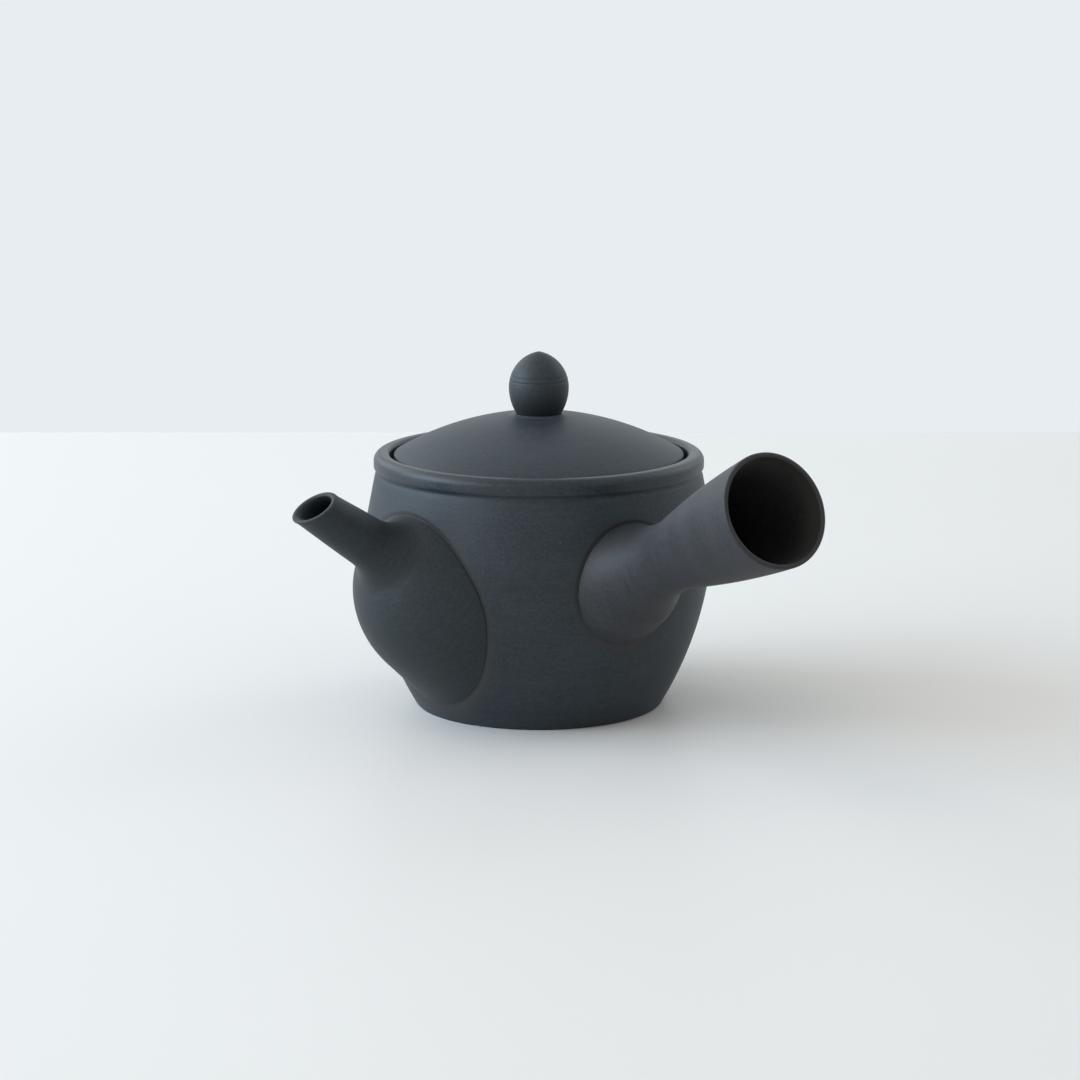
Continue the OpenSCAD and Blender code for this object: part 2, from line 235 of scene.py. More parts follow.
class LidSizes(bpy.types.PropertyGroup):
    """Sizes of the lid and its knob"""

    gap: length("Gap", "Gap between the lid's edge and the bore of the rim", 1.1)
    edge: length("Edge", "Height of the lid's straight edge above its seat", 2.8)
    edge_round: length("Edge rounding", "Rounding of the lid's edge", 1)
    dome_r: length("Dome", "Radius of the dome, in section", 84)
    dome_peak: length("Peak", "How far the dome's curve is centred past the axis", 2)
    thickness: length("Thickness", "Thickness of the dome", 3)
    flange_gap: length("Flange gap", "Gap between the flange and the throat of the pot", 0.6)
    flange_t: length("Flange", "Thickness of the flange", 2.6)
    flange_h: length("Flange length", "Length of the flange below the seat", 7.5)
    flange_edge: length("Flange edge", "Softening of the flange's edges", 0.5)
    steam_d: length("Steam hole", "Diameter of the steam hole", 2.4)
    steam_at: length("Steam place", "Distance of the steam hole from the axis", 11.5)
    steam_angle: angle("Steam turn", "Direction of the steam hole from the spout", 228)
    knob_d: length("Knob", "Largest diameter of the knob", 16.7)
    knob_base_d: length("Knob base", "Diameter of the knob where it meets the lid", 12.6)
    knob_h: length("Knob height", "Height of the knob above the lid", 17.3)
    knob_tip: length("Knob tip", "Height of the knob's point above its widest part", 10)
    ring_rise: length("Ring rise", "Height of the lower ring above the knob's widest part", 1.9)
    ring_pitch: length("Ring pitch", "Distance between the turned rings", 1.3)
    ring_depth: length("Ring depth", "Depth of the turned rings", 0.1)
    ring_width: length("Ring width", "Width of a turned ring", 0.55)
    steps: facets("lid", 192)
    knob_steps: facets("knob", 128)


class ClayColours(bpy.types.PropertyGroup):
    """Colours of the unglazed clay, with painted shade on the spout, the knob and the handle's lip,
    and painted light in the handle's bore and the seams
    """

    body_dark: colour("Body, dark", "Darker tone of the pot and knob", (0.0137, 0.0197, 0.0255))
    body_light: colour("Body, light", "Lighter tone of the pot and knob", (0.0259, 0.0363, 0.0454))
    # Painted shade: the spout's tones are a darker copy of the body's clay
    spout_dark: colour("Spout, dark", "Darker tone of the spout", (0.0114, 0.0163, 0.0199))
    spout_light: colour("Spout, light", "Lighter tone of the spout", (0.0211, 0.0298, 0.0359))
    lid_dark: colour("Lid, dark", "Darker tone of the lid", (0.0164, 0.0224, 0.0290))
    lid_light: colour("Lid, light", "Lighter tone of the lid", (0.0295, 0.0393, 0.0511))
    handle_dark: colour("Handle, dark", "Darker tone of the handle", (0.0190, 0.0206, 0.0246))
    handle_light: colour("Handle, light", "Lighter tone of the handle", (0.0339, 0.0364, 0.0421))
    # The rubbed tone is lighter than the clay, so it also paints light into the tooled hollows
    # along the seams
    rubbed: colour("Rubbed", "Browner tone along the tooled seams", (0.0351, 0.0339, 0.0351))
    # A lighter, bluer tone on the lid round the knob's base
    slip: colour("Slip", "Slip smoothed on the lid round the knob", (0.0679, 0.0842, 0.1030))
    # Painted shade on the knob's lower part, up to its rings
    knob_shade: colour("Smoke", "Darker clay at the knob's base", (0.0099, 0.0105, 0.0123))
    # Painted light inside the handle's bore, strongest at the mouth and fading with depth
    bore: colour("Bore", "Bare clay inside the handle", (0.0484, 0.0447, 0.0390))
    # Painted shade on the handle's lip
    lip: colour("Lip", "Dark clay on the handle's lip", (0.0222, 0.0211, 0.0205))
    speck: colour("Specks", "Rare light grains in the clay", (0.30, 0.29, 0.27))


class StageSettings(bpy.types.PropertyGroup):
    """The table, the light and the camera"""

    camera_turn: angle("Camera turn", "Direction of the camera from the spout", 48.4)
    camera_distance: length("Camera distance", "Level distance from the pot's axis", 828.1)
    camera_height: length("Camera height", "Height above the table", 217.3)
    camera_pitch: angle("Camera pitch", "How far the camera looks down", 11.7)
    camera_aside: angle("Camera aside", "How far the camera looks past the axis", 0.0228)
    lens: FloatProperty(name="Lens", description="Focal length in millimetres", default=100.37)
    table_back: length("Table's edge", "Distance of the table's far edge behind the axis", 450)
    table_colour: colour("Table", "Colour of the table", (0.842, 0.846, 0.849))
    wall_colour: colour("Background", "Colour behind the table", (0.807, 0.847, 0.880))
    light_colour: colour("Light", "Colour of the room's light", (1.0, 0.96, 0.90))


def polar(r, a):
    return Vector((r * math.cos(a), r * math.sin(a)))


def angle_to(a, b):
    return math.atan2(b.y - a.y, b.x - a.x)


def arc_at(c, r, h):
    """Distance from the axis of a circle at a height, on its outer side."""
    return c.x + math.sqrt(r**2 - (h - c.y) ** 2)


def arc_top(c, r, x):
    """Height of a circle at a distance from the axis, on its upper side."""
    return c.y + math.sqrt(r**2 - (x - c.x) ** 2)


def arc(c, r, start, stop, sag=SAG):
    """Points along an arc, without its first point."""
    steps = max(1, math.ceil(abs(stop - start) / (2 * math.acos(1 - sag / r))))
    return [c + polar(r, start + (stop - start) * i / steps) for i in range(1, steps + 1)]


def line(a, b, step=LINE_STEP):
    """Points along a straight line, without its first point."""
    steps = max(1, math.ceil((b - a).length / step))
    return [a.lerp(b, i / steps) for i in range(1, steps + 1)]


def crossing(ca, ra, cb, rb):
    """The meeting point of two circles on the left of the line between their centres."""
    u = cb - ca
    gap = u.length
    u = u / gap
    along = (ra**2 - rb**2 + gap**2) / (2 * gap)
    return ca + along * u + math.sqrt(ra**2 - along**2) * Vector((-u.y, u.x))


def pot_form(pot):
    """Centres and radii that the pot's section is drawn with."""
    f = SimpleNamespace(lean=pot.neck_lean, drop=pot.shoulder_drop, shoulder_r=pot.shoulder_r)
    f.foot_r = pot.foot_d / 2
    f.belly_r = pot.belly_d / 2
    f.shoulder_c = Vector((f.belly_r - f.shoulder_r, pot.belly_z))
    down = polar(1, -f.drop)
    foot = Vector((f.foot_r, 0)) - f.shoulder_c
    more = (foot.length_squared - f.shoulder_r**2) / (2 * (f.shoulder_r - foot.dot(down)))
    f.lower_r = f.shoulder_r + more
    f.lower_c = f.shoulder_c - more * down
    f.neck_z = pot.belly_z + pot.neck_rise
    f.neck_r = neck_at(f, 0, f.neck_z)
    f.rim_r = f.neck_r + pot.rim_step
    f.rim_top = f.neck_z + pot.rim_h
    f.bore_r = f.rim_r - pot.rim_w
    f.seat_z = f.rim_top - pot.seat_depth
    f.throat_r = f.bore_r - pot.seat_w
    f.ledge_z = f.seat_z - pot.seat_t
    f.ledge_low = f.ledge_z - pot.seat_slope
    f.groove_c = Vector((f.neck_r - pot.rim_groove + pot.groove_r, f.neck_z))
    off = (pot.groove_r - pot.rim_groove) * math.cos(f.lean)
    half = math.sqrt(pot.groove_r**2 - off**2)
    f.groove_start = f.groove_c - polar(off, f.lean) - polar(half, math.pi / 2 + f.lean)
    under_r = f.rim_r - pot.rim_under
    rise = math.sqrt((pot.groove_r + pot.rim_under) ** 2 - (f.groove_c.x - under_r) ** 2)
    f.under_c = Vector((under_r, f.neck_z + rise))
    return f


def neck_at(f, inset, h):
    """Distance of the leaning neck from the axis at a height."""
    top = f.shoulder_c + polar(f.shoulder_r - inset, f.lean)
    return top.x - (h - top.y) * math.tan(f.lean)


def pot_outside(f, grow, top):
    """The pot's outside from the foot up the neck."""
    r = f.lower_r + grow
    foot = Vector((arc_at(f.lower_c, r, 0), 0))
    side = [foot] + arc(f.lower_c, r, angle_to(f.lower_c, foot), -f.drop)
    side += arc(f.shoulder_c, f.shoulder_r + grow, -f.drop, f.lean)
    return side + line(side[-1], Vector((neck_at(f, -grow, top), top)))


def rim_side(pot, f):
    """The rim from the groove over its rounded top to the lid's seat."""
    outer_c = Vector((f.rim_r - pot.rim_round, f.rim_top - pot.rim_round))
    inner_c = Vector((f.bore_r + pot.rim_inner, f.rim_top - pot.rim_inner))
    groove_start = math.tau + angle_to(f.groove_c, f.groove_start)
    groove_end = angle_to(f.groove_c, f.under_c)
    side = arc(f.groove_c, pot.groove_r, groove_start, groove_end)
    side += arc(f.under_c, pot.rim_under, groove_end - math.pi, 0)
    side += [Vector((f.rim_r, outer_c.y))] + arc(outer_c, pot.rim_round, 0, math.pi / 2)
    side += [Vector((inner_c.x, f.rim_top))] + arc(inner_c, pot.rim_inner, math.pi / 2, math.pi)
    return side + line(side[-1], Vector((f.bore_r, f.seat_z)))


def pot_inside(pot, f):
    """The pot's inside from the throat down to the middle of the floor."""
    r = f.lower_r - pot.wall
    corner_z = pot.floor_t + pot.floor_round
    corner_c = Vector((arc_at(f.lower_c, r - pot.floor_round, corner_z), corner_z))
    corner_end = angle_to(f.lower_c, corner_c)
    side = [Vector((f.throat_r, f.seat_z)), Vector((f.throat_r, f.ledge_z))]
    side += [Vector((neck_at(f, pot.wall, f.ledge_low), f.ledge_low))]
    side += [f.shoulder_c + polar(f.shoulder_r - pot.wall, f.lean)]
    side += arc(f.shoulder_c, f.shoulder_r - pot.wall, f.lean, -f.drop)
    side += arc(f.lower_c, r, -f.drop, corner_end)
    side += arc(corner_c, pot.floor_round, corner_end, -math.pi / 2)
    return side + line(side[-1], Vector((0, pot.floor_t)), FLOOR_STEP)


def limb_side(limb, inset, tube_c, tube_r, end_angle):
    """A limb's side: a flared foot, a bell's curve, a hollow and a swelling tube."""
    bell_r = limb.bell_r - inset
    hollow_r = limb.hollow_r + inset
    hollow_c = crossing(tube_c, tube_r + hollow_r, limb.bell_c, bell_r + hollow_r)
    bell_end = angle_to(limb.bell_c, hollow_c)
    tube_start = angle_to(tube_c, hollow_c)
    bell_foot = limb.bell_c + polar(bell_r, limb.flare)
    root = Vector((bell_foot.x + (bell_foot.y - limb.start) * math.tan(limb.flare), limb.start))
    side = [root, bell_foot] + arc(limb.bell_c, bell_r, limb.flare, bell_end)
    side += arc(hollow_c, hollow_r, math.pi + bell_end, math.pi + tube_start)
    return side + arc(tube_c, tube_r, tube_start, end_angle)


def limb_form(pot, sizes, turn):
    """Centres and radii that a limb's section is drawn with, and the limb's place."""
    root = pot.belly_d / 2 / math.cos(sizes.tilt)
    limb = SimpleNamespace(bell_r=sizes.bell_r, flare=sizes.bell_flare)
    limb.tube_r = sizes.swell
    limb.hollow_r = sizes.fillet
    limb.start = root * LIMB_START
    limb.mouth = Vector((sizes.mouth_d / 2, root + sizes.reach))
    limb.bell_c = Vector((sizes.bell_d / 2 - sizes.bell_r, root - sizes.bell_back))
    limb.neck = Vector((sizes.neck_d / 2, arc_top(limb.bell_c, sizes.bell_r, sizes.neck_d / 2)))
    limb.tube_c = crossing(limb.neck, sizes.swell, limb.mouth, sizes.swell)
    limb.place = (0, 0, pot.belly_z - sizes.sink)
    limb.turn = (0, math.pi / 2 - sizes.tilt, turn)
    return limb


def spout_form(pot, spout):
    """The spout's form, with the straight run in which its mouth is cut."""
    limb = limb_form(pot, spout, 0)
    limb.last_row = limb.mouth.y - spout.mouth_d * LAST_ROW
    limb.end = limb.mouth.y + spout.mouth_d * math.tan(spout.slant)
    return limb


def spout_side(limb, inset):
    """The spout's side, in one straight run where its mouth is cut."""
    tube_r = limb.tube_r - inset
    last = math.asin((limb.last_row - limb.tube_c.y) / tube_r)
    side = limb_side(limb, inset, limb.tube_c, tube_r, last)
    return side + [Vector((arc_at(limb.tube_c, tube_r, limb.end), limb.end))]


def handle_form(pot, handle):
    """The handle's form, with its rounded lip and its bore."""
    limb = limb_form(pot, handle, handle.turn)
    limb.lip_r = handle.lip / 2
    lip_arc = handle.swell - limb.lip_r
    limb.lip_angle = math.asin((limb.mouth.y - limb.lip_r - limb.tube_c.y) / lip_arc)
    limb.lip_c = limb.tube_c + polar(lip_arc, limb.lip_angle)
    limb.bore_end = limb.lip_c - polar(limb.lip_r, limb.lip_angle)
    bore_neck = limb.neck - Vector((handle.wall, 0))
    limb.bore_c = crossing(bore_neck, handle.swell, limb.bore_end, handle.swell)
    return limb


def handle_side(limb, inset):
    return limb_side(limb, inset, limb.tube_c, limb.tube_r - inset, limb.lip_angle)


def handle_bore(limb, wall):
    return limb_side(limb, wall, limb.bore_c, limb.tube_r, angle_to(limb.bore_c, limb.bore_end))


def lid_form(pot, lid):
    """Centres and radii that the lid's and the knob's sections are drawn with."""
    f = pot_form(pot)
    g = SimpleNamespace(seat_z=f.seat_z)
    g.r = f.bore_r - lid.gap
    g.edge_c = Vector((g.r - lid.edge_round, f.seat_z + lid.edge))
    rise = math.sqrt((lid.dome_r - lid.edge_round) ** 2 - (g.edge_c.x + lid.dome_peak) ** 2)
    g.dome_c = Vector((-lid.dome_peak, g.edge_c.y - rise))
    g.flange_out = f.throat_r - lid.flange_gap
    g.flange_in = g.flange_out - lid.flange_t
    g.flange_z = f.seat_z - lid.flange_h
    return g


def dome_angle(lid, r, x):
    return math.acos((x + lid.dome_peak) / r)


def dome_side(lid, g, r, x):
    """The side of a dome of a radius, from the axis out to a distance."""
    side = arc(g.dome_c, r, dome_angle(lid, r, 0), dome_angle(lid, r, x))
    return [Vector((0, arc_top(g.dome_c, r, 0)))] + side


def draw_section(name, points):
    """Draws a section in the XZ plane, extruded point by point from one vertex."""
    bpy.ops.object.select_all(action="DESELECT")
    bpy.ops.mesh.primitive_plane_add(size=MM, location=(0, 0, 0))
    piece = bpy.context.object
    piece.name = name
    piece.data.name = name
    bpy.ops.object.mode_set(mode="EDIT")
    bpy.ops.mesh.select_all(action="SELECT")
    bpy.ops.mesh.merge(type="CENTER")
    bpy.ops.transform.translate(value=(points[0].x, 0, points[0].y))
    for a, b in zip(points, points[1:]):
        bpy.ops.mesh.extrude_vertices_move(
            TRANSFORM_OT_translate={"value": (b.x - a.x, 0, b.y - a.y)}
        )
    return piece


def turn_section(steps):
    """Spins the section being edited about Z into a closed solid."""
    bpy.ops.mesh.select_all(action="SELECT")
    bpy.ops.mesh.spin(
        steps=steps, angle=math.tau, center=(0, 0, 0), axis=(0, 0, 1), use_auto_merge=True
    )
    bpy.ops.mesh.select_all(action="SELECT")
    bpy.ops.mesh.remove_doubles(threshold=WELD)
    bpy.ops.mesh.normals_make_consistent(inside=False)


def bevel_edges(piece, wanted, width, segments):
    """Softens the edges of the piece being edited for which wanted is true."""
    bpy.ops.mesh.select_mode(type="EDGE")
    bpy.ops.mesh.select_all(action="DESELECT")
    mesh = bmesh.from_edit_mesh(piece.data)
    found = [e for e in mesh.edges if wanted(e)]
    if not found:
        raise RuntimeError(f"{piece.name} has no edge to soften")
    for e in found:
        e.select_set(True)
    bmesh.update_edit_mesh(piece.data)
    bpy.ops.mesh.bevel(offset=width, segments=segments, affect="EDGES")
    bpy.ops.mesh.select_mode(type="VERT")


def on_ring(r, z):
    """Test for the edges of a ring at a distance from the axis and a height."""

    def wanted(edge):
        return all(
            abs(math.hypot(v.co.x, v.co.y) - r) < ON_RING and abs(v.co.z - z) < ON_RING
            for v in edge.verts
        )

    return wanted


def turned(name, points, steps):
    """A solid turned from a section, out of edit mode."""
    piece = draw_section(name, points)
    turn_section(steps)
    bpy.ops.object.mode_set(mode="OBJECT")
    return piece


def pick(piece):
    bpy.ops.object.select_all(action="DESELECT")
    piece.select_set(True)
    bpy.context.view_layer.objects.active = piece


def cut(piece, cutter):
    """Cuts a solid out of a piece and removes the cutter."""
    modifier = piece.modifiers.new("cut", "BOOLEAN")
    modifier.operation = "DIFFERENCE"
    modifier.solver = "EXACT"
    modifier.object = cutter
    pick(piece)
    bpy.ops.object.modifier_apply(modifier=modifier.name)
    bpy.data.objects.remove(cutter)
    if not piece.data.polygons:
        raise RuntimeError(f"{piece.name} was cut away")


def pot_space(pot):
    """The solid that the pot and a film of slip fill, carried on below the pot's foot."""
    f = pot_form(pot)
    outside = pot_outside(f, SLIP_FILM, f.neck_z)
    deep = Vector((outside[0].x, -pot.belly_z))
    points = [Vector((0, -pot.belly_z)), deep] + outside + [Vector((0, f.neck_z))]
    return turned("pot_space", points, pot.steps)


def fit_to_pot(piece, limb, pot):
    """Turns a piece drawn along Z to its limb's direction and trims it to the pot."""
    piece.location = limb.place
    piece.rotation_euler = limb.turn
    pick(piece)
    bpy.ops.object.transform_apply(location=True, rotation=True, scale=True)
    cut(piece, pot_space(pot))


def wall_at(f, z):
    """Distance of the pot's outside from the axis at a height below its groove."""
    if z < f.shoulder_c.y - f.shoulder_r * math.sin(f.drop):
        return arc_at(f.lower_c, f.lower_r, z)
    if z < f.shoulder_c.y + f.shoulder_r * math.sin(f.lean):
        return arc_at(f.shoulder_c, f.shoulder_r, z)
    return neck_at(f, 0, z)


def limb_gap(limb, side):
    """Measure of how far a point of the pot's outside lies from a limb, negative under it."""
    back = Euler(limb.turn).to_matrix().transposed()

    def gap(point):
        p = back @ (point - Vector(limb.place))
        if p.z < side[0].y:
            return math.inf
        for a, b in zip(side, side[1:]):
            if a.y <= p.z <= b.y:
                slope = (b.x - a.x) / (b.y - a.y)
                there = a.x + slope * (p.z - a.y)
                return (math.hypot(p.x, p.y) - there) / math.hypot(1, slope)
        return math.inf

    return gap


def tool_seam(piece, pot, f, gap):
    """Presses a soft hollow into the outside of the pot being edited, round a limb's foot."""
    bpy.ops.mesh.select_mode(type="FACE")
    bpy.ops.mesh.select_all(action="DESELECT")
    mesh = bmesh.from_edit_mesh(piece.data)
    if "seam" not in mesh.verts.layers.float:
        mesh.verts.layers.float.new("seam")

    def outside(point):
        if not 0 < point.z < f.groove_start.y:
            return False
        return math.hypot(point.x, point.y) > wall_at(f, point.z) - pot.wall / 3

    for face in mesh.faces:
        middle = face.calc_center_median()
        if outside(middle) and abs(gap(middle)) < pot.seam_band:
            face.select_set(True)
    bmesh.update_edit_mesh(piece.data)
    bpy.ops.mesh.subdivide(number_cuts=SEAM_CUTS)
    mesh = bmesh.from_edit_mesh(piece.data)
    seam = mesh.verts.layers.float["seam"]
    for v in mesh.verts:
        if not v.select or not outside(v.co):
            continue
        away = gap(v.co)
        # The mask for the rubbed tone, which also paints light into the hollow
        v[seam] = max(v[seam], math.exp(-((away / pot.rub_w) ** 2) / 2))
        width = pot.seam_w if away > 0 else pot.seam_in
        r = wall_at(f, v.co.z) - pot.seam_depth * math.exp(-((away / width) ** 2))
        v.co.xy = v.co.xy.normalized() * r
    bmesh.update_edit_mesh(piece.data)
    bpy.ops.mesh.select_mode(type="VERT")


def finish_piece(piece, material, body, node):
    """Smooths a piece, dresses it and puts it in its CAD node's place."""
    pick(piece)
    bpy.ops.object.shade_smooth_by_angle(angle=SMOOTH_ANGLE)
    piece.data.materials.clear()
    piece.data.materials.append(material)
    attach(piece, body)
    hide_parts(node)


def add_node(tree, kind, inputs=None, **settings):
    """A shader node, its inputs set to values or linked to other nodes' sockets."""
    made = tree.nodes.new(kind)
    for key, value in settings.items():
        setattr(made, key, value)
    for key, value in (inputs or {}).items():
        if isinstance(value, bpy.types.NodeSocket):
            tree.links.new(value, made.inputs[key])
        else:
            made.inputs[key].default_value = value
    return made


def object_place(tree):
    return add_node(tree, "ShaderNodeTexCoord").outputs["Object"]


def new_group(name, values, outputs):
    """A node group that takes a vector and named values, with its two ends."""
    group = bpy.data.node_groups.new(name, "ShaderNodeTree")
    group.interface.new_socket("Vector", in_out="INPUT", socket_type="NodeSocketVector")
    for key, value in values.items():
        socket = group.interface.new_socket(key, in_out="INPUT", socket_type="NodeSocketFloat")
        socket.default_value = value
    for key in outputs:
        group.interface.new_socket(key, in_out="OUTPUT", socket_type="NodeSocketFloat")
    return group, group.nodes.new("NodeGroupInput"), group.nodes.new("NodeGroupOutput")


def math_node(tree, operation, a, b):
    """The result of a Math node whose two inputs are sockets or numbers."""
    return add_node(tree, "ShaderNodeMath", {0: a, 1: b}, operation=operation).outputs[0]


def times(tree, a, b):
    return math_node(tree, "MULTIPLY", a, b)


def mix_colours(tree, share, a, b):
    """A mix of two colours, each a socket or a colour with its alpha."""
    return add_node(tree, "ShaderNodeMix", {0: share, 6: a, 7: b}, data_type="RGBA").outputs[2]


def noise_node(tree, vector, scale, detail, roughness=0.5):
    inputs = {"Vector": vector, "Scale": scale, "Detail": detail, "Roughness": roughness}
    return add_node(tree, "ShaderNodeTexNoise", inputs).outputs["Fac"]


def range_node(tree, value, source, target=(0, 1), kind="LINEAR"):
    """A value brought from one range to another."""
    names = ("Value", "From Min", "From Max", "To Min", "To Max")
    inputs = dict(zip(names, (value, *source, *target)))
    return add_node(tree, "ShaderNodeMapRange", inputs, interpolation_type=kind).outputs["Result"]


def new_material(name, gloss):
    """A material with its node tree and the inputs of its shader."""
    made = bpy.data.materials.new(name)
    made.use_nodes = True
    shader = made.node_tree.nodes["Principled BSDF"].inputs
    shader["Specular IOR Level"].default_value = gloss
    return made, made.node_tree, shader


def clay_grain():
    """Node group: broad mottling, fine grain and rare light specks of unglazed clay."""
    made = bpy.data.node_groups.get("Clay grain")
    if made:
        return made
    scales = {"Mottle scale": 40.0, "Grain scale": 1300.0, "Speck scale": 330.0}
    tree, start, end = new_group("Clay grain", scales, ("Mottle", "Grain", "Specks"))
    vector = start.outputs["Vector"]
    for output, detail in (("Mottle", 5.0), ("Grain", 2.0)):
        noise = noise_node(tree, vector, start.outputs[output + " scale"], detail, 0.6)
        tree.links.new(noise, end.inputs[output])
    spacing = {"Vector": vector, "Scale": start.outputs["Speck scale"]}
    cells = add_node(tree, "ShaderNodeTexVoronoi", spacing).outputs
    cell = add_node(tree, "ShaderNodeSeparateColor", {"Color": cells["Color"]})
    rare = math_node(tree, "GREATER_THAN", cell.outputs[0], SPECK_RARITY)
    small = math_node(tree, "LESS_THAN", cells["Distance"], SPECK_SIZE)
    tree.links.new(times(tree, rare, small), end.inputs["Specks"])
    return tree


def turning_lines():
    """Node group: lines, broad bands and streaks left by turning, round the vector's Z axis."""
    made = bpy.data.node_groups.get("Turning lines")
    if made:
        return made
    density = {"Lines per metre": LINES_PER_METRE}
    tree, start, end = new_group("Turning lines", density, ("Lines", "Broad", "Streaks"))
    vector = start.outputs["Vector"]
    parts = add_node(tree, "ShaderNodeSeparateXYZ", {0: vector}).outputs
    flat = add_node(tree, "ShaderNodeCombineXYZ", {"X": parts["X"], "Y": parts["Y"]}).outputs[0]
    radius = add_node(tree, "ShaderNodeVectorMath", {0: flat}, operation="LENGTH")
    sloped = times(tree, radius.outputs["Value"], LINE_SLOPE)
    along = math_node(tree, "ADD", parts["Z"], sloped)
    drift = noise_node(tree, vector, 22.0, 1.0)
    along = math_node(tree, "ADD", along, times(tree, drift, LINE_DRIFT))
    count = times(tree, along, start.outputs["Lines per metre"])
    for output, scale in (("Lines", 1.0), ("Broad", 0.22)):
        bands = {"W": count, "Scale": scale, "Detail": 2.0}
        rings = add_node(tree, "ShaderNodeTexNoise", bands, noise_dimensions="1D")
        tree.links.new(rings.outputs["Fac"], end.inputs[output])
    stretch = {0: vector, 1: STREAK_STRETCH}
    drawn_out = add_node(tree, "ShaderNodeVectorMath", stretch, operation="MULTIPLY").outputs[0]
    tree.links.new(noise_node(tree, drawn_out, 240.0, 3.0, 0.65), end.inputs["Streaks"])
    return tree


def clay_material(colours, tone_of, name, place=(0, 0, 0), turn=(0, 0, 0), lines=LINES_PER_METRE):
    """Unglazed clay in a piece's tones, with turning lines round the piece's own axis."""
    made, tree, shader = new_material(name, CLAY_GLOSS)
    dark = getattr(colours, tone_of + "_dark")
    light = getattr(colours, tone_of + "_light")
    axis = {"Vector": object_place(tree), "Location": place, "Rotation": turn}
    vector = add_node(tree, "ShaderNodeMapping", axis, vector_type="TEXTURE").outputs["Vector"]
    grain = add_node(tree, "ShaderNodeGroup", {"Vector": vector}, node_tree=clay_grain()).outputs
    turning = {"Vector": vector, "Lines per metre": lines}
    rings = add_node(tree, "ShaderNodeGroup", turning, node_tree=turning_lines()).outputs
    tone = times(tree, grain["Mottle"], 0.25)
    for output, share in ((grain["Grain"], 0.4), (rings["Streaks"], 0.25), (rings["Broad"], 0.1)):
        tone = math_node(tree, "ADD", tone, times(tree, output, share))
    clay = mix_colours(tree, range_node(tree, tone, TONE_SPREAD), (*dark, 1), (*light, 1))
    specks = times(tree, grain["Specks"], SPECK_SHARE)
    clay = mix_colours(tree, specks, clay, (*colours.speck, 1))
    tree.links.new(clay, shader["Base Color"])
    tree.links.new(range_node(tree, tone, ROUGH_TONES, CLAY_ROUGHNESS), shader["Roughness"])
    below = {}
    for output, strength, depth in (
        (rings["Lines"], 0.3, 0.12 * MM),
        (rings["Streaks"], 0.25, 0.1 * MM),
        (grain["Grain"], 0.4, 0.08 * MM),
    ):
        relief = {"Height": output, "Strength": strength, "Distance": depth, **below}
        below = {"Normal": add_node(tree, "ShaderNodeBump", relief).outputs["Normal"]}
    tree.links.new(below["Normal"], shader["Normal"])
    return made


def tint(material, mask, colour_to):
    """Mixes one more colour into a clay where the mask is high."""
    tree = material.node_tree
    colour_in = tree.nodes["Principled BSDF"].inputs["Base Color"]
    mixed = mix_colours(tree, mask, colour_in.links[0].from_socket, (*colour_to, 1))
    tree.links.new(mixed, colour_in)


def rub_and_light_seams(material, rubbed):
    """Browns and lightens a clay where the mesh's seam attribute says that a tool ran along it: a
    rubbed tone that also paints light into the tooled hollow.
    """
    tree = material.node_tree
    seam = add_node(tree, "ShaderNodeAttribute", attribute_name="seam")
    tint(material, times(tree, seam.outputs["Fac"], RUBBED_AND_LIT_SHARE), rubbed)


def by_height(tree, low, high, at_low, at_high):
    """A value that goes softly from one to another between two heights on the piece."""
    parts = add_node(tree, "ShaderNodeSeparateXYZ", {0: object_place(tree)})
    return range_node(tree, parts.outputs["Z"], (low, high), (at_low, at_high), "SMOOTHSTEP")


def burnish_rim(material, low, high):
    """Smooths a clay's roughness between two heights, where a wet cloth closed the rim."""
    tree = material.node_tree
    rough_in = tree.nodes["Principled BSDF"].inputs["Roughness"]
    share = by_height(tree, low, high, 1.0, RIM_ROUGHNESS)
    tree.links.new(times(tree, rough_in.links[0].from_socket, share), rough_in)


def paint_bore_light_lip_shade(material, bore, lip):
    """Paints light into a handle's bore and shade onto its lip, from the mesh's attributes."""
    for name, colour_to in (("bore", bore), ("lip", lip)):
        mask = add_node(material.node_tree, "ShaderNodeAttribute", attribute_name=name)
        tint(material, mask.outputs["Fac"], colour_to)


def mark_bore_light_lip_shade(piece, limb, lip):
    """Marks the points in a handle's bore, where light is painted, and those on its lip, where
    shade is painted, for its material.
    """
    back = Euler(limb.turn).to_matrix().transposed()
    bore = piece.data.attributes.new("bore", "FLOAT", "POINT").data
    edge = piece.data.attributes.new("lip", "FLOAT", "POINT").data
    for v in piece.data.vertices:
        p = back @ (v.co - Vector(limb.place))
        outwards = Vector((p.x, p.y, 0)).normalized().dot(back @ v.normal)
        below = (limb.mouth.y - p.z) / lip
        # Painted light in the bore, fading with depth
        bore[v.index].value = math.exp(-max(0, below) / BORE_LIGHT_DEPTH) if outwards < 0 else 0
        # Painted shade on the lip, more where its face turns inwards
        facing = min(1, max(0, (LIP_SHADE_FACING - outwards) / LIP_SHADE_SPREAD))
        edge[v.index].value = math.exp(-(below**2)) * facing


